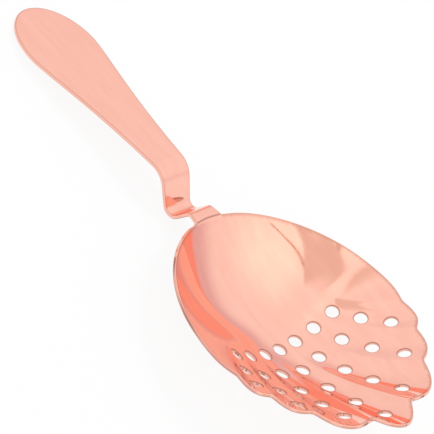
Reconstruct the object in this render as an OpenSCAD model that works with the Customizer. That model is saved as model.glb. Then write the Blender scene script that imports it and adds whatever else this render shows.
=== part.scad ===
// Julep strainer with a fluted scallop front, pressed and bent from one sheet of metal.
// All lengths are in millimetres and all angles in degrees.
// The strainer is drawn with its rim level, handle towards -X, and is then laid down
// as it rests on a table: on the bottom of its bowl and the end of its handle.

/* [Sheet] */
// Thickness of the sheet
sheet = 1; // [0.8:0.1:1.6]

/* [Bowl] */
// Length of the oval that the bowl is pressed to, without the lobes
bowl_length = 80; // [70:1:90]
// Width of that oval
bowl_width = 75; // [66:1:84]
// Depth of the bowl at the middle of the sheet
bowl_depth = 15.2; // [12:0.2:18]
// How much the oval is drawn in at its corners, 0 for a true ellipse
corner_draw = 0.17; // [0:0.01:0.3]
// How early the wall rises, 1 for a parabola, more for a straighter rim
wall_rise = 1.6; // [1.2:0.05:1.7]
// The same for the wall behind the middle, where less makes a steeper rim
back_wall_rise = 0.5; // [0.4:0.05:1.7]

/* [Flutes] */
// Distance from the back rim to the point that the flutes fan out from
fan_inset = 6; // [4:0.5:9]
// Angles of the ridges between the flutes where they start, from the middle out
ridge_start = [5.6, 17, 28.1, 38.5]; // [1:0.1:60]
// Angles of the same ridges at the rim
ridge_rim = [6.7, 21.3, 31, 40.1]; // [1:0.1:60]
// Depth of each flute at the rim, from the middle out, the last one half a lobe
flute_depth = [2.4, 1.6, 0.95, 1, 0.5]; // [0.2:0.05:3]
// Where the flutes begin, measured forward from the middle of the bowl
flute_start = -8; // [-12:0.5:-2]
// Distance over which they grow from nothing
flute_run_in = 20; // [12:1:30]
// How round the ridges between them are, more for a broader ridge
ridge_round = 0.16; // [0.04:0.02:0.4]

/* [Drain holes] */
// Diameter of the holes
hole_d = 4; // [3:0.1:4.8]
// Angle of each line of holes, from the middle out
line_angle = [0, 11, 22.6, 32.7]; // [0:0.1:45]
// Spacing of the holes along each line
line_pitch = [9.3, 8.3, 8.6, 8.1]; // [7:0.1:12]
// Place of the inner row of holes ahead of the middle of the bowl
row_ahead = 0.2; // [-2:0.1:4]
// Least distance from the last hole of a line to the rim
hole_margin = 4.4; // [3.5:0.1:8]

/* [Hook] */
// Width of the flat tab where it leaves the rim
tab_width = 10.2; // [8:0.1:12]
// Width of the strip where the tab bends down
bend_width = 9.2; // [8:0.1:12]
// Width of the strip at the bottom of the fold
fold_width = 10; // [8:0.1:12]
// Length of the tab
tab_length = 3.2; // [2.5:0.1:6]
// Radius that joins the tab's sides to the rim
tab_fillet = 0.8; // [0.4:0.1:4]
// Depth of the fold below the rim
hook_drop = 7.3; // [5:0.1:9]
// Slope of the leg that drops from the tab
leg_angle = 53; // [42:1:65]
// Slope of the riser behind it
riser_angle = 56; // [50:1:70]
// Radius at the middle of the sheet where the tab folds down
tab_bend = 1.6; // [1.2:0.1:2]
// Radius at the bottom of the fold
fold_bend = 2.9; // [1.5:0.1:3]
// Radius where the riser turns into the handle
knee_bend = 7; // [3:0.5:9]

/* [Handle] */
// Height of the knee above the rim
handle_rise = 4.3; // [2:0.1:8]
// Slope of the handle up towards its end
handle_slope = 1.2; // [0:0.1:4]
// Length from the knee to the end
handle_length = 68; // [55:1:85]
// Width of the strip at the knee
neck_width = 11.6; // [9:0.1:13]
// Greatest width of the handle
handle_width = 25.9; // [20:0.1:30]
// Distance from the widest place to the end
end_length = 16.8; // [12:0.2:22]

/* [Hidden] */

half_length = bowl_length / 2;
half_width = bowl_width / 2;
fan_x = fan_inset - half_length;
half_sheet = sheet / 2;

// The wall turns from its front shape to its back shape as the cosine of the way back
// goes from one of these to the other, softened near the middle of the bowl
back_turn = [0.2, 0.8];
middle_soft = 0.25;
// The flutes lie this many degrees of fan beyond the last ridge, then die away
edge_half = 8;
edge_fade = 40;
// Powers that set how the ridges bend outwards and how the flutes deepen. The ridges
// stop bending this many ovals out.
ridge_bend = 3;
ridge_bend_end = 1.15;
ridge_bend_on_ray = 6;
flute_growth = 3;
// The inner row of holes bows back by this much per line squared
row_bow = 0.14;
// Curve of the shoulder from the knee to the widest place: how far its two pulls
// reach along the handle, and how much of the widening the first one has
shoulder_reach = [0.56, 0.87];
shoulder_lift = 0.23;
// The strip is drawn over the rim by this much, so that the two are one sheet
lap = 0.4 * sheet;

// Steps of the bowl's surface: rings and how much they crowd towards the rim, steps
// in a flute, steps round the smooth back
rings = 22;
ring_crowding = 0.12;
flute_steps = 6;
back_steps = 21;
slope_step = 0.3;
bend_step = 9;
curve_steps = 14;
foot_steps = 6;
// Searches by halving: how often they halve, and the limits that they start from
halvings = 24;
rim_search = 1.4;
steepest_rest = 30;
// Part of the bowl's half length in which its lowest point at rest is looked for
lowest_search = [-0.8:0.0025:0.1];

// Tables that turn a place in the fan, counted in flutes, into an angle and back.
// Whole numbers are the middles of flutes and halves are the ridges.
function ridge(i, bend) = ridge_start[i] + (ridge_rim[i] - ridge_start[i]) * bend;
function edge_middle(bend) = ridge(3, bend) + edge_half;
function fan_places(bend) = [
    [0, 0],
    for (i = [0:3]) [ridge(i, bend), i + 0.5],
    [edge_middle(bend), 4],
    [180, 5]
];
function fan_angles(bend) = [for (row = fan_places(bend)) [row[1], row[0]]];

// Depth of the flute at a place in the fan: a cosine arch between rounded ridges
function arch(c) = (norm([c, ridge_round]) - ridge_round) / (norm([1, ridge_round]) - ridge_round);
function flute_at(place, bend) =
    place <= 4
        ? flute_depth[round(place)] * arch(cos(180 * place))
        : flute_depth[4] * pow(cos(90 * min(1, (place - 4) * (180 - edge_middle(bend)) / edge_fade)), 2);

function smooth(t) = let (c = min(1, max(0, t))) c * c * (3 - 2 * c);

// 0 at the middle of the bowl and 1 on the oval
function oval(x, y) =
    let (a = pow(x / half_length, 2), b = pow(y / half_width, 2))
    sqrt(a + b + corner_draw * a * b);

// Height of the middle of the sheet above the bottom of the bowl
function height(x, y) =
    let (
        u = oval(x, y),
        way_back = -x / half_length / norm([u, middle_soft]),
        backness = smooth((way_back - back_turn[0]) / (back_turn[1] - back_turn[0])),
        rise = wall_rise + (back_wall_rise - wall_rise) * backness,
        bend = pow(min(u, ridge_bend_end), ridge_bend),
        place = lookup(abs(atan2(y, x - fan_x)), fan_places(bend)),
        growth = 1 - pow(1 - pow(min(u, 1), 2), flute_growth)
    )
    bowl_depth * u * u * (rise - (rise - 1) * u)
        - flute_at(place, bend) * growth * smooth((x - flute_start) / flute_run_in);

function sheet_point(x, y) = [x, y, height(x, y)];
function unit(v) = v / norm(v);
function normal(x, y) = unit([
    height(x - slope_step, y) - height(x + slope_step, y),
    height(x, y - slope_step) - height(x, y + slope_step),
    2 * slope_step
]);

// Distance from the fan point to the rim, found by halving. A point far outside the
// oval is never taken for the inside, because the wall's formula turns down out there.
function is_inside(x, y) = oval(x, y) < rim_search && height(x, y) < bowl_depth;
function rim_distance(angle, low = 0, high = bowl_length + bowl_width, left = halvings) =
    let (middle = (low + high) / 2)
    left == 0
        ? middle
        : is_inside(fan_x + middle * cos(angle), middle * sin(angle))
            ? rim_distance(angle, middle, high, left - 1)
            : rim_distance(angle, low, middle, left - 1);

// Half of the rays from the fan point, by their place in the fan
half_rays = [
    for (i = [0:flute_steps / 2]) i / flute_steps,
    for (i = [1:3 * flute_steps]) 0.5 + i / flute_steps,
    for (i = [1:flute_steps / 2]) 3.5 + i / flute_steps,
    for (i = [1:back_steps]) 4 + i / back_steps
];
rays = [
    for (place = half_rays) [place, 1],
    for (i = [len(half_rays) - 2:-1:1]) [half_rays[i], -1]
];
ray_count = len(rays);
rim_angles = fan_angles(1);
reach = [for (ray = rays) rim_distance(lookup(ray[0], rim_angles))];

// Points of the middle surface, ring by ring from the fan point to the rim
function ring_share(k) = let (t = k / rings) t * (1 + ring_crowding * (1 - t));
bowl_grid = [
    for (k = [1:rings])
        let (t = ring_share(k), angles = fan_angles(pow(t, ridge_bend_on_ray)))
        for (j = [0:ray_count - 1])
            let (angle = rays[j][1] * lookup(rays[j][0], angles), r = t * reach[j])
            [fan_x + r * cos(angle), r * sin(angle)]
];
function offset_points(side) = [
    sheet_point(fan_x, 0) + side * half_sheet * normal(fan_x, 0),
    for (p = bowl_grid) sheet_point(p[0], p[1]) + side * half_sheet * normal(p[0], p[1])
];
upper_points = offset_points(1);
lower_points = offset_points(-1);
face_count = len(upper_points);

function at(k, j) = k == 0 ? 0 : 1 + (k - 1) * ray_count + j % ray_count;
upper_faces = [
    for (j = [0:ray_count - 1]) [0, at(1, j + 1), at(1, j)],
    for (k = [1:rings - 1])
        for (j = [0:ray_count - 1])
            each [[at(k, j), at(k, j + 1), at(k + 1, j + 1)], [at(k, j), at(k + 1, j + 1), at(k + 1, j)]]
];
lower_faces = [for (f = upper_faces) [f[0] + face_count, f[2] + face_count, f[1] + face_count]];
edge_faces = [
    for (j = [0:ray_count - 1])
        let (a = at(rings, j), b = at(rings, j + 1))
        each [[a, b, b + face_count], [a, b + face_count, a + face_count]]
];

// The pressed bowl, with its flutes and its scalloped rim
module bowl() {
    polyhedron(
        points = concat(upper_points, lower_points),
        faces = concat(upper_faces, lower_faces, edge_faces),
        convexity = 8
    );
}

// Lines of holes that fan out with the flutes, as many as fit before the rim
module drain_holes() {
    for (i = [0:3]) {
        first = (row_ahead - row_bow * i * i - fan_x) / cos(line_angle[i]);
        room = rim_distance(line_angle[i]) - hole_margin - first;
        for (n = [0:floor(room / line_pitch[i])]) {
            r = first + n * line_pitch[i];
            for (side = i == 0 ? [1] : [-1, 1])
                drain_hole(fan_x + r * cos(line_angle[i]), side * r * sin(line_angle[i]));
        }
    }
}

// One hole, square to the sheet
module drain_hole(x, y) {
    n = normal(x, y);
    translate(sheet_point(x, y))
        rotate([0, acos(n[2]), atan2(n[1], n[0])])
            cylinder(d = hole_d, h = 4 * sheet, center = true, $fn = 48);
}

// Corners of the strip's side view: x is forward and y is up, from the back rim
back_rim = [-half_length, bowl_depth];
leg_end = [-tab_length - hook_drop / tan(leg_angle), -hook_drop];
knee = leg_end + (hook_drop + handle_rise) * [-1 / tan(riser_angle), 1];
handle_end = knee + handle_length * [-cos(handle_slope), sin(handle_slope)];
strip_corners = [
    [lap, 0],
    [-tab_length, 0],
    leg_end,
    knee,
    handle_end
];
strip_radii = [0, tab_bend, fold_bend, knee_bend, 0];

// Points along a path of straight lines whose corners are rounded by arcs
function rounded(points, radii) = [
    points[0],
    for (i = [1:len(points) - 2])
        let (
            before = unit(points[i - 1] - points[i]),
            after = unit(points[i + 1] - points[i]),
            half_angle = acos(before * after) / 2,
            middle = points[i] + unit(before + after) * radii[i] / sin(half_angle),
            turn = 90 - half_angle,
            count = max(2, ceil(2 * turn / bend_step)),
            towards = unit(points[i] - middle),
            way = cross(before, after) > 0 ? -1 : 1
        )
        for (n = [0:count])
            let (a = way * turn * (2 * n / count - 1))
            middle + radii[i] * [
                towards[0] * cos(a) - towards[1] * sin(a),
                towards[0] * sin(a) + towards[1] * cos(a)
            ],
    points[len(points) - 1]
];
strip_path = rounded(strip_corners, strip_radii);
function path_side(path, i) =
    let (
        back = path[max(0, i - 1)],
        next = path[min(len(path) - 1, i + 1)],
        along = unit(next - back)
    )
    [along[1], -along[0]];
strip_profile = [
    for (i = [0:len(strip_path) - 1]) strip_path[i] + half_sheet * path_side(strip_path, i),
    for (i = [len(strip_path) - 1:-1:0]) strip_path[i] - half_sheet * path_side(strip_path, i)
];

// Half of the strip's outline seen from above, from the rim to the end of the handle
function rim_back(y) =
    let (b = pow(y / half_width, 2))
    half_length * (1 - sqrt((1 - b) / (1 + corner_draw * b)));
fillet_foot = tab_width / 2 + tab_fillet;
fillet_middle = rim_back(fillet_foot) - tab_fillet;
widest = knee[0] - (handle_length - end_length) * cos(handle_slope);
outline_end = handle_end[0] - sheet * sin(handle_slope);
shoulder = [
    [knee[0], neck_width / 2],
    [
        knee[0] + shoulder_reach[0] * (widest - knee[0]),
        neck_width / 2 + shoulder_lift * (handle_width - neck_width) / 2
    ],
    [knee[0] + shoulder_reach[1] * (widest - knee[0]), handle_width / 2],
    [widest, handle_width / 2]
];
function bezier(p, t) =
    pow(1 - t, 3) * p[0] + 3 * t * pow(1 - t, 2) * p[1] + 3 * t * t * (1 - t) * p[2] + pow(t, 3) * p[3];
half_outline = [
    for (i = [0:foot_steps]) let (y = fillet_foot * i / foot_steps) [rim_back(y) + lap, y],
    for (i = [0:foot_steps])
        let (a = 90 * i / foot_steps)
        [fillet_middle + tab_fillet * cos(a), fillet_foot - tab_fillet * sin(a)],
    [-tab_length, bend_width / 2],
    [leg_end[0], fold_width / 2],
    for (i = [0:curve_steps]) bezier(shoulder, i / curve_steps),
    for (i = [1:curve_steps])
        let (a = 90 * i / curve_steps)
        [widest + (outline_end - widest) * sin(a), handle_width / 2 * cos(a)]
];
strip_outline = [
    for (p = half_outline) p,
    for (i = [len(half_outline) - 2:-1:1]) [half_outline[i][0], -half_outline[i][1]]
];

// Tab, hook and handle: the bent side view, trimmed to the outline seen from above
module strip() {
    translate([back_rim[0], 0, back_rim[1]])
        intersection() {
            rotate([90, 0, 0])
                linear_extrude(height = 2 * handle_width, center = true)
                    polygon(strip_profile);
            translate([0, 0, -2 * hook_drop])
                linear_extrude(height = 2 * (hook_drop + handle_rise + handle_length))
                    polygon(strip_outline);
        }
}

// Rest: the bowl's bottom and the handle's end stand at one height
end_corner = back_rim + handle_end - half_sheet * [sin(handle_slope), cos(handle_slope)];
function lowest_of_bowl(tilt) =
    min([
        for (share = lowest_search)
            let (x = share * half_length)
            x * sin(tilt) + height(x, 0) * cos(tilt)
    ]) - half_sheet;
function rest_tilt(low = 0, high = steepest_rest, left = halvings) =
    let (tilt = (low + high) / 2)
    left == 0
        ? tilt
        : end_corner[0] * sin(tilt) + end_corner[1] * cos(tilt) > lowest_of_bowl(tilt)
            ? rest_tilt(tilt, high, left - 1)
            : rest_tilt(low, tilt, left - 1);
tilt = rest_tilt();
function laid_x(p) = p[0] * cos(tilt) - p[2] * sin(tilt);
front_x = max([for (p = concat(upper_points, lower_points)) laid_x(p)]);
top_corner = back_rim + handle_end + half_sheet * [-sin(handle_slope), cos(handle_slope)];
rear_x = laid_x([top_corner[0], 0, top_corner[1]]);

module laid_down() {
    translate([-(front_x + rear_x) / 2, 0, -lowest_of_bowl(tilt)])
        rotate([0, -tilt, 0])
            children();
}

// The whole strainer, one piece of sheet
module strainer() {
    color("#e9b09b")
        laid_down()
            difference() {
                union() {
                    bowl();
                    strip();
                }
                drain_holes();
            }
}

strainer();
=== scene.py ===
# %% [markdown]
# # A julep strainer, from one sheet of copper-plated steel
#
# The real object is one blank of stainless steel sheet. A press gives it a shallow bowl
# with flutes like a scallop shell, punches round drain holes through it, and bends a flat
# tab, a V-shaped hook and a paddle handle behind it. Then it is polished and plated.
#
# The CAD part is the frame: it says where everything is. This script draws the same sheet
# more finely, gives it its finish, and sets the light and the camera.

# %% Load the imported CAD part
import math
import bpy
import numpy as np
from mathutils import Matrix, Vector
from mathutils.geometry import delaunay_2d_cdt


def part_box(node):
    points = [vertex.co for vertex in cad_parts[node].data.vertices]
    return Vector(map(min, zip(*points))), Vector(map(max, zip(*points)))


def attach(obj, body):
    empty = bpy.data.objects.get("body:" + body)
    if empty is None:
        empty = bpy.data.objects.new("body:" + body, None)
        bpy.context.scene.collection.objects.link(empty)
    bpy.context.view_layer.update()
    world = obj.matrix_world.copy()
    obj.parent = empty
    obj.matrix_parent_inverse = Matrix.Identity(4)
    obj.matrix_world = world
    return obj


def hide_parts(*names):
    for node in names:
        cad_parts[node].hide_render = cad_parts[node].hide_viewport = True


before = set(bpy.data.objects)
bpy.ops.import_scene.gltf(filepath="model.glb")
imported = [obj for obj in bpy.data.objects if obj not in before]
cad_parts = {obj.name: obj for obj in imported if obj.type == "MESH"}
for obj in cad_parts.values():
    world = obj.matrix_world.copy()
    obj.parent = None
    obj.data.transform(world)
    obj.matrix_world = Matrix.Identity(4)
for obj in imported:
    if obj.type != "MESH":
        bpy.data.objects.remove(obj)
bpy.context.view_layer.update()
cad_low, cad_high = (np.array(corner) * 1000 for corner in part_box("strainer"))
print("CAD box in millimetres:", cad_low.round(2), cad_high.round(2))

# %% [markdown]
# ## The shape of the bowl
#
# A pressed bowl could be a scaled sphere, but its wall rises steadily towards the rim and
# its front is fluted. So its height is worked out for any point of the plan, as one
# formula for the whole array of points. The oval coordinate u is 0 in the middle and 1 on
# the oval that the bowl is pressed to. The flutes fan out from a point near the back rim.

# %% Height of the bowl
SHEET = 1.0
HALF_LENGTH, HALF_WIDTH = 40.0, 37.5
DEPTH, CORNER_DRAW = 15.2, 0.17
FRONT_RISE, BACK_RISE = 1.6, 0.5
BACK_TURN, MIDDLE_SOFT = (0.2, 0.8), 0.25
FAN_X = 6 - HALF_LENGTH
RIDGE_START = np.array([5.6, 17, 28.1, 38.5])
RIDGE_RIM = np.array([6.7, 21.3, 31, 40.1])
FLUTE_DEPTH = np.array([2.4, 1.6, 0.95, 1, 0.5])
FLUTE_START, FLUTE_RUN_IN, FLUTE_GROWTH = -8.0, 20.0, 3
EDGE_HALF, EDGE_FADE = 8.0, 40.0
RIDGE_ROUND, RIDGE_BEND, RIDGE_BEND_END = 0.16, 3, 1.15
FAN_REACH, RIM_SEARCH, RIM_HALVINGS = 110.0, 1.4, 40


def smooth(t):
    """An S-curve from 0 to 1: three t squared less two t cubed, with t held in 0 to 1."""
    t = np.clip(t, 0, 1)
    return t * t * (3 - 2 * t)


def oval(x, y):
    """Square root of a + b + draw * a * b, where a and b are (x / half length) squared and
    (y / half width) squared: 0 in the middle, 1 on the oval."""
    a, b = (x / HALF_LENGTH) ** 2, (y / HALF_WIDTH) ** 2
    return np.sqrt(a + b + CORNER_DRAW * a * b)


def ridge_angles(u):
    """Angle of each ridge at oval coordinate u: it bends outwards with the cube of u."""
    bend = np.minimum(u, RIDGE_BEND_END)[..., None] ** RIDGE_BEND
    return RIDGE_START + (RIDGE_RIM - RIDGE_START) * bend


def place_in_fan(x, y):
    """Counts flutes outwards from the middle one: whole numbers are the middles of flutes
    and halves are ridges. Each step between two known angles adds its share of the count."""
    angle = np.degrees(np.arctan2(np.abs(y), x - FAN_X))[..., None]
    ridges = ridge_angles(oval(x, y))
    zero = np.zeros_like(angle)
    angles = np.concatenate([zero, ridges, ridges[..., 3:] + EDGE_HALF, zero + 180], -1)
    steps = np.array([0.5, 1, 1, 1, 0.5, 1])
    share = np.clip((angle - angles[..., :-1]) / np.diff(angles), 0, 1)
    return (steps * share).sum(-1), angles[..., 5]


def flute_at(x, y):
    """Depth of the flutes: a cosine arch from ridge to ridge, with the ridges rounded as a
    press leaves them, times the depth of that flute. Past the last ridge it dies away."""
    place, edge = place_in_fan(x, y)
    wave = np.sqrt(np.cos(np.pi * place) ** 2 + RIDGE_ROUND**2) - RIDGE_ROUND
    arch = wave / (math.sqrt(1 + RIDGE_ROUND**2) - RIDGE_ROUND)
    fade = np.cos(np.pi / 2 * np.clip((place - 4) * (180 - edge) / EDGE_FADE, 0, 1)) ** 2
    depth = FLUTE_DEPTH[np.minimum(np.round(place), 4).astype(int)]
    return np.where(place <= 4, depth * arch, FLUTE_DEPTH[4] * fade)


def bowl_height(x, y):
    """Depth * u squared * (rise - (rise - 1) * u), less the flutes, which grow towards the
    rim. The rise turns from its front value to its back value with the cosine of the way
    back, so the wall is straight in front and steepens to the rim behind."""
    u = oval(x, y)
    way_back = -x / HALF_LENGTH / np.hypot(u, MIDDLE_SOFT)
    backness = smooth((way_back - BACK_TURN[0]) / (BACK_TURN[1] - BACK_TURN[0]))
    rise = FRONT_RISE + (BACK_RISE - FRONT_RISE) * backness
    growth = 1 - (1 - np.minimum(u, 1) ** 2) ** FLUTE_GROWTH
    flutes = flute_at(x, y) * growth * smooth((x - FLUTE_START) / FLUTE_RUN_IN)
    return DEPTH * u * u * (rise - (rise - 1) * u) - flutes


def rim_distance(angle):
    """Distance from the fan point to the rim along each angle in degrees, by halving: the
    rim is where the sheet comes up to the bowl's full depth."""
    c, s = np.cos(np.radians(angle)), np.sin(np.radians(angle))
    low, high = np.ones_like(c), np.full_like(c, FAN_REACH)
    for _ in range(RIM_HALVINGS):
        middle = (low + high) / 2
        x, y = FAN_X + middle * c, middle * s
        inside = (oval(x, y) < RIM_SEARCH) & (bowl_height(x, y) < DEPTH)
        low, high = np.where(inside, middle, low), np.where(inside, high, middle)
    return low


front_rim = FAN_X + rim_distance(np.array([0.0]))[0]
print("front rim", round(front_rim, 2), "mm ahead of the bowl's middle")

# %% [markdown]
# ## The bent strip behind the bowl
#
# Tab, hook and handle are one strip, bent in a press brake. Seen from the side it is a
# path of straight lines whose corners are arcs. The path gives the height of the sheet at
# each x, and a separate outline gives its half width. Bending a flat mesh with modifiers
# would also work, but a path with known radii is exact.

# %% Side view and outline of the strip
TAB_WIDTH, TAB_LENGTH, TAB_FILLET = 10.2, 3.2, 0.8
HOOK_DROP, LEG_ANGLE, RISER_ANGLE = 7.3, 53.0, 56.0
BEND_WIDTH, FOLD_WIDTH, NECK_WIDTH = 9.2, 10.0, 11.6
HANDLE_RISE, HANDLE_SLOPE, HANDLE_LENGTH = 4.3, 1.2, 68.0
HANDLE_WIDTH, END_LENGTH = 25.9, 16.8
BEND_RADII = [1.6, 2.9, 7.0]
LAP = 6.0


def backwards(slope):
    """Unit direction in the side view, towards -x and up at the slope in degrees."""
    return np.array([-math.cos(math.radians(slope)), math.sin(math.radians(slope))])


riser_way, handle_way = backwards(RISER_ANGLE), backwards(HANDLE_SLOPE)
back_rim = np.array([-HALF_LENGTH, DEPTH])
tab_end = back_rim + [-TAB_LENGTH, 0]
leg_end = tab_end + [-HOOK_DROP / math.tan(math.radians(LEG_ANGLE)), -HOOK_DROP]
knee = leg_end + riser_way * (HOOK_DROP + HANDLE_RISE) / riser_way[1]
handle_end = knee + HANDLE_LENGTH * handle_way


def rounded_path(corners, radii, step=0.2):
    """Straight lines with an arc at each inner corner. Returns x, z and the sheet's slope
    dz/dx for points along the path, with one point for each step of the bend in degrees."""
    points, slopes = [corners[0]], []
    for before, corner, after, radius in zip(corners, corners[1:], corners[2:], radii):
        way_in = (corner - before) / np.linalg.norm(corner - before)
        way_out = (after - corner) / np.linalg.norm(after - corner)
        turn = math.acos(way_in @ way_out)
        sign = np.sign(way_in[0] * way_out[1] - way_in[1] * way_out[0])
        start = corner - way_in * radius * math.tan(turn / 2)
        side = sign * np.array([-way_in[1], way_in[0]])
        a = np.linspace(0, turn, max(3, math.ceil(math.degrees(turn) / step)))
        ahead, aside = np.sin(a)[:, None] * way_in, (1 - np.cos(a))[:, None] * side
        points.append(start + radius * (ahead + aside))
        ways = np.cos(a)[:, None] * way_in + np.sin(a)[:, None] * side
        slopes.append(ways[:, 1] / ways[:, 0])
    points.append(corners[-1])
    path = np.vstack(points)
    slope = np.concatenate([slopes[0][:1], *slopes, slopes[-1][-1:]])
    return path[:, 0], path[:, 1], slope


path_corners = [back_rim + [LAP, 0], tab_end, leg_end, knee, handle_end]
path_x, path_z, path_slope = rounded_path(path_corners, BEND_RADII)
print("strip:", len(path_x), "points along the side view")
print("knee at", knee.round(2), "and end at", handle_end.round(2))

# %% [markdown]
# ## One sheet: where the strip meets the bowl
#
# The wall of the bowl comes up at a slope and the tab leaves it level, so there is a
# crease along the back rim. On the real part it has a small radius. A smooth minimum of
# the two heights gives that radius, only near the tab, and leaves the rest of the rim alone.

# %% Height and slope of the whole sheet
CREASE = 0.55
CREASE_HALF_WIDTH, CREASE_FADE = 7, 2
BOWL_REACH, OUT_OF_REACH = 1.6, 1e3


def crease_share(x, y):
    """How far each point belongs to the bowl (1) or to the strip (0), the two heights and
    the width of the crease: the share runs with the difference of the two heights."""
    bowl = np.where(x < -HALF_LENGTH - BOWL_REACH, OUT_OF_REACH, bowl_height(x, y))
    strip = np.interp(x, path_x[::-1], path_z[::-1])
    near_tab = 1 - smooth((np.abs(y) - CREASE_HALF_WIDTH) / CREASE_FADE)
    width = CREASE * near_tab * (x < 0) + 1e-9
    return np.clip(0.5 + 0.5 * (strip - bowl) / width, 0, 1), bowl, strip, width


def sheet_height(x, y):
    """Smooth minimum of bowl and strip: their mix by the share, less width times share times
    (1 - share)."""
    share, bowl, strip, width = crease_share(x, y)
    return strip * (1 - share) + bowl * share - width * share * (1 - share)


def sheet_normal(x, y, step=0.03):
    """Unit normal from the slopes: the bowl's by central differences, the strip's from its
    path, mixed by the same share."""
    share = crease_share(x, y)[0]
    run = np.interp(x, path_x[::-1], path_slope[::-1])
    rise_x = bowl_height(x + step, y) - bowl_height(x - step, y)
    rise_y = bowl_height(x, y + step) - bowl_height(x, y - step)
    slope_x = share * rise_x / (2 * step) + (1 - share) * run
    slope_y = share * rise_y / (2 * step)
    normal = np.stack([-slope_x, -slope_y, np.ones_like(slope_x)], -1)
    return normal / np.linalg.norm(normal, axis=-1, keepdims=True)


def sheet_point(plan):
    """Points of the middle of the sheet over plan points, as x, y and height."""
    return np.column_stack([plan, sheet_height(plan[:, 0], plan[:, 1])])


at_crease = sheet_point(np.array([[-HALF_LENGTH, 0.0]]))[0, 2]
print("the crease takes", round(DEPTH - at_crease, 3), "mm off the corner at the tab")

# %% [markdown]
# ## The outline of the sheet
#
# The blank was cut to an outline, so the mesh needs its edge exactly there: the rim with
# its scallops, the fillets of the tab, the neck and the paddle, whose sides swell in a
# soft curve and close in half an ellipse. The far half is the mirror of the near half.

# %% Outline and drain holes in plan
EDGE_ROUND, HOLE_ROUND = 0.22, 0.16
HOLE_RADIUS = 2.0
HOLE_MARGIN, ROW_AHEAD, ROW_BOW = 4.4, 0.2, 0.14
LINE_ANGLES = [0, 11, 22.6, 32.7]
LINE_PITCHES = [9.3, 8.3, 8.6, 8.1]
SHOULDER_REACH, SHOULDER_LIFT = (0.56, 0.87), 0.23
OUTLINE_STEP, HOLE_POINTS = 0.3, 44


def half_outline():
    """Rim from the front tip round to the tab, then a quarter circle, the straight sides of
    tab and neck, a cubic curve for the shoulder and half an ellipse for the end."""
    foot = TAB_WIDTH / 2 + TAB_FILLET
    b = (foot / HALF_WIDTH) ** 2
    foot_x = -HALF_LENGTH * math.sqrt((1 - b) / (1 + CORNER_DRAW * b))
    last_angle = math.degrees(math.atan2(foot, foot_x - FAN_X))
    angle = np.concatenate([np.linspace(0, 60, 3000), np.linspace(60, last_angle, 1500)[1:]])
    r = rim_distance(angle)
    turn = np.radians(angle)
    rim = np.column_stack([FAN_X + r * np.cos(turn), r * np.sin(turn)])
    a = np.linspace(0, np.pi / 2, 40)[1:, None]
    fillet = [foot_x - TAB_FILLET, foot] + TAB_FILLET * np.hstack([np.cos(a), -np.sin(a)])
    neck_x = [tab_end[0], leg_end[0], knee[0]]
    neck = np.column_stack([neck_x, [BEND_WIDTH / 2, FOLD_WIDTH / 2, NECK_WIDTH / 2]])
    widest = knee[0] - (HANDLE_LENGTH - END_LENGTH) * math.cos(math.radians(HANDLE_SLOPE))
    run, swell = widest - knee[0], (HANDLE_WIDTH - NECK_WIDTH) / 2
    first = [SHOULDER_REACH[0] * run, SHOULDER_LIFT * swell]
    second = [SHOULDER_REACH[1] * run, swell]
    p = np.array([[0, 0], first, second, [run, swell]]) + neck[2]
    t = np.linspace(0, 1, 400)[1:, None]
    shoulder = (1 - t) ** 3 * p[0] + 3 * t * (1 - t) ** 2 * p[1]
    shoulder = shoulder + 3 * t * t * (1 - t) * p[2] + t**3 * p[3]
    a = np.linspace(0, np.pi / 2, 400)[1:, None]
    end = np.hstack([widest + (handle_end[0] - widest) * np.sin(a), HANDLE_WIDTH / 2 * np.cos(a)])
    return np.vstack([rim, fillet, neck, shoulder, end])


def even_steps(plan, step):
    """The same line again, with points at equal steps along the sheet itself."""
    steps = np.linalg.norm(np.diff(sheet_point(plan), axis=0), axis=1)
    length = np.concatenate([[0], np.cumsum(steps)])
    at = np.linspace(0, length[-1], round(length[-1] / step) + 1)
    return np.column_stack([np.interp(at, length, plan[:, k]) for k in (0, 1)])


def edge_frame(loop):
    """For a closed loop in plan: its points on the sheet, the sheet's normals there, and
    the direction across the edge, which is the loop's own direction crossed with the normal."""
    point, normal = sheet_point(loop), sheet_normal(*loop.T)
    along = np.roll(point, -1, 0) - np.roll(point, 1, 0)
    across = np.cross(along, normal)
    return point, normal, across / np.linalg.norm(across, axis=1, keepdims=True)


dense = half_outline()
near = even_steps(dense, OUTLINE_STEP)
strip_side = dense[dense[:, 0] < tab_end[0]]
outline = np.vstack([near, (near * [1, -1])[-2:0:-1]])
outline = outline - EDGE_ROUND * edge_frame(outline)[2][:, :2]


def hole_centres():
    """Lines of holes fan out with the flutes: as many at the line's pitch as fit before
    the rim."""
    centres = []
    for i, (angle, pitch) in enumerate(zip(LINE_ANGLES, LINE_PITCHES)):
        c, s = math.cos(math.radians(angle)), math.sin(math.radians(angle))
        first = (ROW_AHEAD - ROW_BOW * i * i - FAN_X) / c
        room = rim_distance(np.array([float(angle)]))[0] - HOLE_MARGIN - first
        for r in first + pitch * np.arange(int(room // pitch) + 1):
            sides = [1] if i == 0 else [1, -1]
            centres += [(FAN_X + r * c, side * r * s) for side in sides]
    return np.array(centres)


def hole_loop(centre, radius, count=HOLE_POINTS, turn=0.0):
    """A circle square to the sheet, seen in plan. It runs clockwise, so that the direction
    across its edge points into the hole."""
    normal = sheet_normal(*centre[:, None])[0]
    side = np.cross(normal, [0, 1, 0])
    side /= np.linalg.norm(side)
    a = -(np.arange(count) + turn)[:, None] * 2 * np.pi / count
    return centre + radius * (np.cos(a) * side + np.sin(a) * np.cross(normal, side))[:, :2]


holes = hole_centres()
hole_loops = [hole_loop(c, HOLE_RADIUS + HOLE_ROUND) for c in holes]
print("outline:", len(outline), "points; drain holes:", len(holes))

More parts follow.
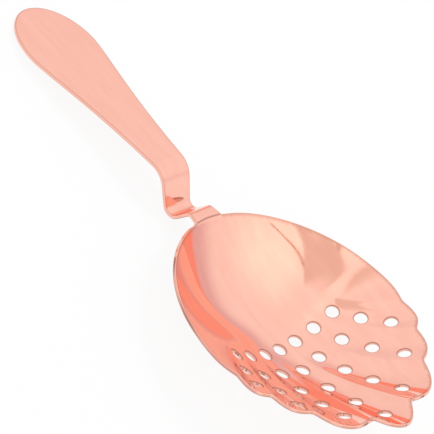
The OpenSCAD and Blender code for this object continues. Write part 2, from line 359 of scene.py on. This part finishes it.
# %% [markdown]
# ## Filling the sheet
#
# A regular grid would cut the holes and the scallops into steps. Instead the plan is
# filled with points, in even rows and with extra rows along each ridge, and a constrained
# Delaunay triangulation joins them and keeps every edge. All heights and normals then come
# from the formulas, so the curves stay true however the triangles fall.

# %% Points inside the sheet
RIDGE_OFFSETS, CREASE_OFFSETS = (-0.5, -0.22, 0, 0.22, 0.5), (-0.3, 0, 0.3)
CREASE_STEP, CREASE_END = 0.28, 5.6
BOWL_STEP, BOWL_ROW = 0.45, 0.52
BEND_STEP, BEND_ROW, PADDLE_STEP, PADDLE_ROW = 0.45, 0.6, 1.1, 1.2
TAB_HALF_SEARCH = 8


def ridge_lines(step=0.4):
    """Points along each ridge, at a few small distances to its sides: the angle at each
    distance from the fan point is found by working out the oval coordinate again and again."""
    r = np.arange(24, 80, step)[:, None]
    angle = np.broadcast_to(RIDGE_RIM, (len(r), 4))
    for _ in range(30):
        x, y = FAN_X + r * np.cos(np.radians(angle)), r * np.sin(np.radians(angle))
        bend = np.minimum(oval(x, y), RIDGE_BEND_END) ** RIDGE_BEND
        angle = RIDGE_START + (RIDGE_RIM - RIDGE_START) * bend
    rows = []
    for offset in RIDGE_OFFSETS:
        a = np.radians(angle) + offset / r
        x, y = FAN_X + r * np.cos(a), r * np.sin(a)
        rows.append(np.column_stack([x.ravel(), y.ravel()]))
    return np.vstack(rows)


def lattice(x_values, y_step, half_height):
    """Rows at the given x values, with every second row moved by half a step."""
    y = np.arange(-half_height, half_height + y_step, y_step)
    shift = (np.arange(len(x_values)) % 2)[:, None] * y_step / 2
    return np.column_stack([np.repeat(x_values, len(y)), (y[None, :] + shift).ravel()])


def clear_of(points, others, gap):
    """True for each point that is at least gap away from every one of the others."""
    keep = np.ones(len(points), bool)
    for start in range(0, len(points), 2000):
        part = points[start : start + 2000, None] - others[None]
        keep[start : start + 2000] = (part**2).sum(-1).min(1) > gap * gap
    return keep


def rim_line(y):
    """Where the oval that the bowl is pressed to crosses the tab, at each y."""
    b = (y / HALF_WIDTH) ** 2
    return -HALF_LENGTH * np.sqrt((1 - b) / (1 + CORNER_DRAW * b))


crease_y = np.arange(-CREASE_END, 5.7, CREASE_STEP)
crease_x = rim_line(crease_y)
crease = np.vstack([np.column_stack([crease_x + off, crease_y]) for off in CREASE_OFFSETS])
ridges = ridge_lines()
ridges = ridges[(ridges[:, 0] > FLUTE_START) & (bowl_height(*ridges.T) < DEPTH)]
ridges = np.vstack([ridges, ridges * [1, -1]])
bowl_rows = lattice(np.arange(-HALF_LENGTH, 45, BOWL_STEP), BOWL_ROW, 40)
bowl_rows = bowl_rows[(oval(*bowl_rows.T) < RIM_SEARCH) & (bowl_height(*bowl_rows.T) < DEPTH)]
bowl_rows = bowl_rows[clear_of(bowl_rows, ridges, 0.36)]

path_steps = np.hypot(np.diff(path_x), np.diff(path_z))
path_length = np.concatenate([[0], np.cumsum(path_steps)])
knee_length = np.interp(-knee[0] + 5, -path_x, path_length)
bend_x = np.interp(np.arange(5.6, knee_length, BEND_STEP), path_length, path_x)
paddle_at = np.arange(knee_length, path_length[-1], PADDLE_STEP)
paddle_x = np.interp(paddle_at, path_length, path_x)
strip_rows = np.vstack([lattice(bend_x, BEND_ROW, 9), lattice(paddle_x, PADDLE_ROW, 14)])
width_at = np.interp(-strip_rows[:, 0], -strip_side[:, 0], strip_side[:, 1])
on_tab = strip_rows[:, 0] > tab_end[0]
width_at[on_tab] = TAB_HALF_SEARCH
beyond_rim = bowl_height(strip_rows[:, 0], strip_rows[:, 1]) > DEPTH
strip_rows = strip_rows[(np.abs(strip_rows[:, 1]) < width_at) & (~on_tab | beyond_rim)]

collars = [hole_loop(c, HOLE_RADIUS + HOLE_ROUND + 0.32, turn=0.5) for c in holes]
rows = np.vstack([ridges, bowl_rows, strip_rows])
inside = np.vstack([crease, rows[clear_of(rows, crease, 0.28)]])
inner_line = outline - 0.3 * edge_frame(outline)[2][:, :2]
inner_line = inner_line[clear_of(inner_line, outline, 0.27)]
inside = np.vstack([inner_line, inside[clear_of(inside, outline, 0.5)]])
inside = inside[clear_of(inside, holes, HOLE_RADIUS + HOLE_ROUND + 0.6)]
collars = [c[clear_of(c, outline, 0.3)] for c in collars]
print("points inside the sheet:", len(inside))

# %% [markdown]
# ## Triangles, both faces and the edges
#
# The triangulation gives one layer. It is copied to both sides of the middle of the sheet,
# along the normals. Then a small profile, two quarter circles with a flat between them, is
# carried along the outline and round each hole: that is the cut edge, softened by polishing.
#
# Each point also gets a number for painted shade, which also makes the finish rougher. It is
# high at the corners of the holes, the lower corner of the cut edge and the crease at the tab:
# those places are painted darker, as painted shade and dark reflection, and draw the thin lines
# round the shape.

# %% Build the mesh of the sheet
# How much painted shade, and roughness with it, the rings of the cut edge get, from the upper
# face to the lower one
RIM_SHADE_AND_ROUGH = [0.2, 0, 0, 0.1, 0.6, 1]
HOLE_SHADE_AND_ROUGH = [1, 0.7, 0.25, 0.1, 0.1, 0.3]
# Width of the painted shade in the crease at the tab, and the half width where it is painted
CREASE_SHADE_WIDTH, TAB_HALF = 0.25, 6

loops = [outline, *hole_loops]
plan = np.vstack([*loops, *collars, inside])
ends = np.cumsum([len(loop) for loop in loops])
loop_ids = [np.arange(end - len(loop), end) for loop, end in zip(loops, ends)]
constraints = np.vstack([np.column_stack([ids, np.roll(ids, -1)]) for ids in loop_ids])
made = delaunay_2d_cdt(plan.tolist(), constraints.tolist(), [], 1, 1e-7)
triangles = np.array(made[2])
assert len(made[0]) == len(plan)
owner = np.full(len(plan), -1)
for hole, ids in enumerate(loop_ids[1:]):
    owner[ids] = hole
owners = owner[triangles]
in_hole = (owners[:, 0] >= 0) & (owners == owners[:, :1]).all(1)
triangles = triangles[~in_hole]
print("one layer:", len(plan), "points,", len(triangles), "triangles")


def edge_strip(loop, ids, radius, count, steps=3):
    """The profile carried along a loop: rounded from the upper face, straight, and rounded
    to the lower face. Returns the new points, their normals and the four-sided faces."""
    point, normal, across = edge_frame(loop)
    a = np.linspace(0, np.pi / 2, steps + 1)
    out = np.concatenate([np.sin(a), np.cos(a)])
    up = np.concatenate([np.cos(a), -np.sin(a)])
    middle = (SHEET / 2 - radius) * np.concatenate([np.ones_like(a), -np.ones_like(a)])
    profile = list(zip(out, up, middle))[1:-1]
    rings = [point + radius * o * across + (m + radius * u) * normal for o, u, m in profile]
    normals = [o * across + u * normal for o, u, m in profile]
    fresh = [count + k * len(loop) + np.arange(len(loop)) for k in range(len(rings))]
    bands = [ids, *fresh, ids + len(plan)]
    quads = [
        np.column_stack([one, two, np.roll(two, -1), np.roll(one, -1)])
        for one, two in zip(bands, bands[1:])
    ]
    return np.vstack(rings), np.vstack(normals), np.vstack(quads)


middle_points, middle_normals = sheet_point(plan), sheet_normal(*plan.T)
half_sheet = SHEET / 2 * middle_normals
points = [middle_points + half_sheet, middle_points - half_sheet]
normals = [middle_normals, -middle_normals]
index = np.arange(len(plan))
on_rim, on_hole = index < ends[0], (index >= ends[0]) & (index < ends[-1])
from_crease = np.abs(plan[:, 0] - rim_line(np.clip(plan[:, 1], -TAB_HALF, TAB_HALF)))
crease_shade_and_rough = np.clip(1 - from_crease / CREASE_SHADE_WIDTH, 0, 1) * (np.abs(plan[:, 1]) < TAB_HALF)
# Painted shade on both faces: darker at the rim, round the holes and, on the upper face, in the
# crease at the tab
upper_shade_and_rough = np.maximum(0.4 * on_rim + 0.35 * on_hole, 0.7 * crease_shade_and_rough)
painted_shade_and_rough = [upper_shade_and_rough, 0.6 * on_rim + 0.5 * on_hole]
quads = []
count = 2 * len(plan)
for loop, ids in zip(loops, loop_ids):
    radius, tones = (EDGE_ROUND, RIM_SHADE_AND_ROUGH) if loop is outline else (HOLE_ROUND, HOLE_SHADE_AND_ROUGH)
    p, n, q = edge_strip(loop, ids, radius, count)
    points.append(p), normals.append(n), quads.append(q)
    # The rings of each cut edge get their painted shade
    painted_shade_and_rough.append(np.repeat(tones, len(loop)))
    count += len(p)
points, normals, quads = np.vstack(points), np.vstack(normals), np.vstack(quads)
painted_shade_and_rough = np.concatenate(painted_shade_and_rough)
triangles = np.vstack([triangles, triangles[:, ::-1] + len(plan)])
print("whole sheet:", len(points), "points,", len(triangles) + 2 * len(quads), "triangles")

# %% [markdown]
# ## Lying at rest
#
# Let go on a table, the strainer rests on the bottom of its bowl and on the end of its
# handle. The tilt that brings both to one height is found by halving, as in the CAD part.

# %% Lay the sheet down and make the object
STEEPEST_REST, TILT_HALVINGS = 30, 30
# Where the bowl's lowest point is looked for, as shares of its half length
LOWEST_FROM, LOWEST_TO = -0.8, 0.1
FRONT_CLEARANCE = 0.2


def rest_tilt():
    """The angle at which the handle's end is as low as the bowl, found by halving."""
    slope = math.radians(HANDLE_SLOPE)
    end = handle_end - SHEET / 2 * np.array([math.sin(slope), math.cos(slope)])
    x = np.linspace(LOWEST_FROM * HALF_LENGTH, LOWEST_TO * HALF_LENGTH, 2000)
    z = bowl_height(x, np.zeros_like(x))
    low, high = 0.0, math.radians(STEEPEST_REST)
    for _ in range(TILT_HALVINGS):
        tilt = (low + high) / 2
        bottom = (x * math.sin(tilt) + z * math.cos(tilt)).min() - SHEET / 2
        if end[0] * math.sin(tilt) + end[1] * math.cos(tilt) > bottom:
            low = tilt
        else:
            high = tilt
    return tilt, bottom


tilt, bottom = rest_tilt()
c, s = math.cos(tilt), math.sin(tilt)
turn = np.array([[c, 0, s], [0, 1, 0], [-s, 0, c]])
points, normals = points @ turn, normals @ turn
front = (cad_high[0] - EDGE_ROUND * FRONT_CLEARANCE) - points[:, 0].max()
points += [front, 0, -bottom]
print("tilt", round(math.degrees(tilt), 3), "degrees")
print("sheet from", points.min(0).round(2), "to", points.max(0).round(2))

mesh = bpy.data.meshes.new("strainer_sheet")
mesh.from_pydata((points / 1000).tolist(), [], triangles.tolist() + quads.tolist())
mesh.polygons.foreach_set("use_smooth", np.ones(len(mesh.polygons), bool))
mesh.validate()
mesh.normals_split_custom_set_from_vertices(normals.tolist())
# The painted shade goes to the material as a point attribute, which also makes the finish rougher
# there
shade_and_rough_layer = mesh.attributes.new("painted_shade_and_rough", "FLOAT", "POINT")
shade_and_rough_layer.data.foreach_set("value", painted_shade_and_rough.astype(np.float32))
sheet = bpy.data.objects.new("strainer_sheet", mesh)
bpy.context.scene.collection.objects.link(sheet)
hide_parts("strainer")
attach(sheet, "root")

# %% [markdown]
# ## Polished copper plating
#
# The plating is a few microns of copper, so the finish is that of the steel under it:
# buffed on soft wheels. It mirrors its surroundings, a little blurred, with very fine
# lines along the way the wheel ran. Copper takes blue and green out of what it reflects,
# so where two walls mirror each other the colour deepens to orange red. The wheel also
# leaves soft streaks of a slightly paler pink. The number kept on each point of the mesh
# mixes in painted shade, a brown for the thin dark lines at edges and crease, and roughness.

# %% The finish
def linear(hex_colour):
    """sRGB hex to the linear colour that a shader takes."""
    c = np.array([int(hex_colour[i : i + 2], 16) for i in (1, 3, 5)]) / 255
    return (*np.where(c <= 0.04045, c / 12.92, ((c + 0.055) / 1.055) ** 2.4), 1.0)


def add(tree, kind, inputs=(), **settings):
    """Adds a node with its settings. Each input is a value or another node's output."""
    node = tree.nodes.new(kind)
    for name, value in settings.items():
        setattr(node, name, value)
    for name, value in dict(inputs).items():
        if isinstance(value, bpy.types.NodeSocket):
            tree.links.new(value, node.inputs[name])
        else:
            node.inputs[name].default_value = value
    return node


def new_material(name):
    """An empty material and its node tree."""
    material = bpy.data.materials.new(name)
    material.use_nodes = True
    material.node_tree.nodes.clear()
    return material, material.node_tree


def per_metre(*sizes):
    """Scale of a noise along each axis: how many whole waves of each size in millimetres
    there are in a metre."""
    return tuple(round(1000 / size) for size in sizes)


# The two tones of the plating, and the brown of the painted shade at edges and crease
ROSE, PALE_ROSE, PAINTED_SHADE_BROWN = "#FDBEAB", "#FFC3B1", "#804C3E"
SMOOTHEST, ROUGHEST, ROUGHER_WHERE_SHADED = 0.03, 0.055, 0.25
# In millimetres: the patches of haze, and the length and width of wheel lines and streaks
HAZE_PATCH = 18.2
WHEEL_LINE, WHEEL_LINE_WIDTH, WHEEL_LINE_DEPTH = 16.7, 0.3846, 0.1
STREAK, STREAK_WIDTH = 55.6, 2.38
# How much of their depth the wheel lines have left after the last buffing
LINES_LEFT = 0.02

# A Mix node has several sockets of the same name, so its inputs are given by number:
# 0 is the factor, 6 and 7 are the two colours, 4 and 5 the two vectors.
plating, tree = new_material("polished_copper_plating")
place = add(tree, "ShaderNodeTexCoord").outputs["Object"]
haze_scale = per_metre(HAZE_PATCH)[0]
haze_inputs = {"Vector": place, "Scale": haze_scale, "Detail": 4, "Roughness": 0.6}
haze = add(tree, "ShaderNodeTexNoise", haze_inputs)
line_scale = per_metre(WHEEL_LINE, WHEEL_LINE_WIDTH, WHEEL_LINE_WIDTH)
along = add(tree, "ShaderNodeMapping", {"Vector": place, "Scale": line_scale})
lines = add(tree, "ShaderNodeTexNoise", {"Vector": along.outputs[0], "Scale": 1, "Detail": 2})
limits = {"From Min": 0.3, "From Max": 0.7, "To Min": SMOOTHEST, "To Max": ROUGHEST}
rough = add(tree, "ShaderNodeMapRange", {"Value": haze.outputs["Fac"], **limits})
# The painted shade number kept on each point: it darkens the colour and adds roughness
shade_and_rough = add(tree, "ShaderNodeAttribute", attribute_name="painted_shade_and_rough").outputs["Fac"]
rough_inputs = {0: shade_and_rough, 1: ROUGHER_WHERE_SHADED, 2: rough.outputs[0]}
rough = add(tree, "ShaderNodeMath", rough_inputs, operation="MULTIPLY_ADD")
streak_scale = per_metre(STREAK, STREAK_WIDTH, STREAK_WIDTH)
wheel = add(tree, "ShaderNodeMapping", {"Vector": place, "Scale": streak_scale})
streaks = add(tree, "ShaderNodeTexNoise", {"Vector": wheel.outputs[0], "Scale": 1, "Detail": 3})
limits = {"From Min": 0.35, "From Max": 0.65}
streak = add(tree, "ShaderNodeMapRange", {"Value": streaks.outputs["Fac"], **limits})
plate_inputs = {0: streak.outputs[0], 6: linear(ROSE), 7: linear(PALE_ROSE)}
plate = add(tree, "ShaderNodeMix", plate_inputs, data_type="RGBA")
# Painted shade: the brown is mixed into the plating's colour by that number
colour_inputs = {0: shade_and_rough, 6: plate.outputs[2], 7: linear(PAINTED_SHADE_BROWN)}
colour = add(tree, "ShaderNodeMix", colour_inputs, data_type="RGBA")
bump_inputs = {"Height": lines.outputs["Fac"], "Strength": LINES_LEFT}
bump_inputs["Distance"] = WHEEL_LINE_DEPTH / 1000
bump = add(tree, "ShaderNodeBump", bump_inputs)
surface = {"Base Color": colour.outputs[2], "Metallic": 1.0, "Roughness": rough.outputs[0]}
surface["Normal"] = bump.outputs[0]
shader = add(tree, "ShaderNodeBsdfPrincipled", surface)
add(tree, "ShaderNodeOutputMaterial", {"Surface": shader.outputs[0]})
mesh.materials.append(plating)
print("finish:", plating.name, "with noise scales", haze_scale, line_scale, streak_scale)

# %% [markdown]
# ## The floor
#
# The strainer lies on a white paper sweep, as in a product photograph. Paper lit by a lamp
# would come out grey, so rays that show it to the camera, directly or in the metal, see it
# nine parts glowing white and one part lit paper. That one part keeps a faint shadow.

# %% The floor
WHITE_SHARE = 0.9

floor_mesh = bpy.data.meshes.new("floor")
floor_mesh.from_pydata([(-3, -3, 0), (3, -3, 0), (3, 3, 0), (-3, 3, 0)], [], [(0, 1, 2, 3)])
floor = bpy.data.objects.new("floor", floor_mesh)
bpy.context.scene.collection.objects.link(floor)
floor_paint, tree = new_material("white_paper_sweep")
ray = add(tree, "ShaderNodeLightPath")
seen = {0: ray.outputs["Is Camera Ray"], 1: ray.outputs["Is Glossy Ray"]}
seen = add(tree, "ShaderNodeMath", seen, operation="MAXIMUM")
seen = {0: seen.outputs[0], 1: ray.outputs["Is Transmission Ray"]}
seen = add(tree, "ShaderNodeMath", seen, operation="MAXIMUM")
share = add(tree, "ShaderNodeMath", {0: seen.outputs[0], 1: WHITE_SHARE}, operation="MULTIPLY")
paper = add(tree, "ShaderNodeBsdfDiffuse", {"Color": linear("#F4F4F4")})
white = add(tree, "ShaderNodeEmission", {"Color": linear("#FFFFFF"), "Strength": 1.0})
mix_inputs = {0: share.outputs[0], 1: paper.outputs[0], 2: white.outputs[0]}
mix = add(tree, "ShaderNodeMixShader", mix_inputs)
add(tree, "ShaderNodeOutputMaterial", {"Surface": mix.outputs[0]})
floor_mesh.materials.append(floor_paint)
print("floor:", floor_paint.name, "with a white share of", WHITE_SHARE)

# %% [markdown]
# ## The room
#
# Polished metal shows what is round it, so most of its look comes from there. The world is
# painted by direction: x, y and z of a unit vector, with the camera on the side of -y. The
# forms are laid over each other, each by a soft mask. First comes a large soft light
# overhead and its edge, a thin dark line. Then follow a dimmer warm part on the camera's
# side, a dim mauve band low down, a dark warm band lower still, and a copper-toned strip
# low down on the side away from the camera.
#
# Their places and tones are fitted to one photo, so they are a likely room and not the
# real one. Only mirror rays see them: all other light comes from a plain room.

# %% The room
PLAIN_LIGHT = 0.9
# Tones of light, where 1 is white paper
SOFT_LIGHT, DARK_LINE, CAMERA_SIDE = (1.32, 1.32, 1.25), (0.62, 0.45, 0.36), (0.87, 0.8, 0.74)
MAUVE_BAND, DARK_BAND, COPPER_STRIP = (0.8, 0.65, 0.7), (0.45, 0.36, 0.34), (0.98, 0.43, 0.34)
# Centres, as directions: of the soft light, of the ring whose arc is the thin line, and of
# the circle outside which the camera's side begins
LIGHT_CENTRE = (0.2, 0.0, 0.98)
RING_CENTRE = (0.021, 0.515, 0.857)
CIRCLE_CENTRE = (0.153, 0.648, 0.746)

world = bpy.data.worlds.new("studio")
bpy.context.scene.world = world
world.use_nodes = True
tree = world.node_tree
tree.nodes.clear()
way = add(tree, "ShaderNodeTexCoord").outputs["Generated"]
way_x, way_y, way_z = add(tree, "ShaderNodeSeparateXYZ", {0: way}).outputs
from_light, from_ring, from_circle = [
    add(tree, "ShaderNodeVectorMath", {0: way, 1: centre}, operation="DISTANCE").outputs["Value"]
    for centre in (LIGHT_CENTRE, RING_CENTRE, CIRCLE_CENTRE)
]


def lay_over(room, tone, *edges):
    """The room with one more form in it. Each soft edge is a value, the limit where the form
    is gone and the limit where it is whole, with an S-curve between them. The product of
    the edges is how far the form's tone takes the place of the room's."""
    shown = 1.0
    for value, gone_at, whole_at in edges:
        low, high = sorted((gone_at, whole_at))
        at_low = float(low == whole_at)
        inputs = {"Value": value, "From Min": low, "From Max": high}
        inputs |= {"To Min": at_low, "To Max": 1 - at_low}
        edge = add(tree, "ShaderNodeMapRange", inputs, interpolation_type="SMOOTHSTEP")
        inputs = {0: shown, 1: edge.outputs["Result"]}
        shown = add(tree, "ShaderNodeMath", inputs, operation="MULTIPLY").outputs[0]
    inputs = {0: shown, 4: room, 5: tone}
    return add(tree, "ShaderNodeMix", inputs, data_type="VECTOR").outputs[1]


room = lay_over((1, 1, 1), SOFT_LIGHT, (from_light, 0.85, 0.15))
ring = [(from_ring, 0.757, 0.768), (from_ring, 0.781, 0.77)]
room = lay_over(room, DARK_LINE, *ring, (way_x, -0.25, -0.1), (way_x, 0.57, 0.52))
outside = (from_circle, 0.946, 0.958)
room = lay_over(room, CAMERA_SIDE, outside, (way_x, -0.44, -0.31), (way_y, -0.36, -0.3))
room = lay_over(room, MAUVE_BAND, (way_z, 0.6, 0.32), (way_x, -1.1, -0.3), (way_x, 0.65, 0.45))
room = lay_over(room, DARK_BAND, (way_z, 0.14, 0.03))
room = lay_over(room, COPPER_STRIP, (way_z, 0.28, 0.2), (way_y, 0.53, 0.6), (way_x, 0.55, 0.45))
ray = add(tree, "ShaderNodeLightPath")
inputs = {0: ray.outputs["Is Glossy Ray"], 4: (PLAIN_LIGHT,) * 3, 5: room}
plain = add(tree, "ShaderNodeMix", inputs, data_type="VECTOR").outputs[1]
seen = {0: ray.outputs["Is Camera Ray"], 1: ray.outputs["Is Transmission Ray"]}
seen = add(tree, "ShaderNodeMath", seen, operation="MAXIMUM")
inputs = {0: seen.outputs[0], 4: plain, 5: (1, 1, 1)}
light = add(tree, "ShaderNodeMix", inputs, data_type="VECTOR").outputs[1]
sky = add(tree, "ShaderNodeBackground", {"Color": light})
add(tree, "ShaderNodeOutputWorld", {"Surface": sky.outputs[0]})
print("room:", len(tree.nodes), "nodes, plain light", PLAIN_LIGHT)

# %% [markdown]
# ## The key light and the camera
#
# One soft round lamp behind and above gives the floor its faint shadow. Mirror rays don't
# see it, since the room already holds its reflection. The camera's place, turn and focal
# length come from fitting the outline and the holes of the CAD part to the photo.

# %% The key light and the camera
KEY_PLACE, KEY_TURN, KEY_SIZE, KEY_POWER = (0.05, 0.5, 1.1), -24, 0.5, 3
CAMERA_PLACE = (0.226444, -0.659578, 0.626815)
CAMERA_TURN = (40.55946, -29.51610, 48.68226)
SENSOR_WIDTH, FOCAL_LENGTH = 36, 272.444

key = bpy.data.lights.new("key", "AREA")
key.shape, key.size, key.energy = "DISK", KEY_SIZE, KEY_POWER
key_light = bpy.data.objects.new("key", key)
key_turn = Matrix.Rotation(math.radians(KEY_TURN), 4, "X")
key_light.matrix_world = Matrix.Translation(KEY_PLACE) @ key_turn
key_light.visible_glossy = False
bpy.context.scene.collection.objects.link(key_light)

camera_data = bpy.data.cameras.new("camera")
camera_data.sensor_width, camera_data.lens = SENSOR_WIDTH, FOCAL_LENGTH
camera = bpy.data.objects.new("camera", camera_data)
camera.location = CAMERA_PLACE
camera.rotation_euler = [math.radians(angle) for angle in CAMERA_TURN]
bpy.context.scene.collection.objects.link(camera)
bpy.context.scene.camera = camera
bpy.context.scene.view_settings.view_transform = "Standard"
print("camera", round(camera.location.length, 3), "m from the origin")
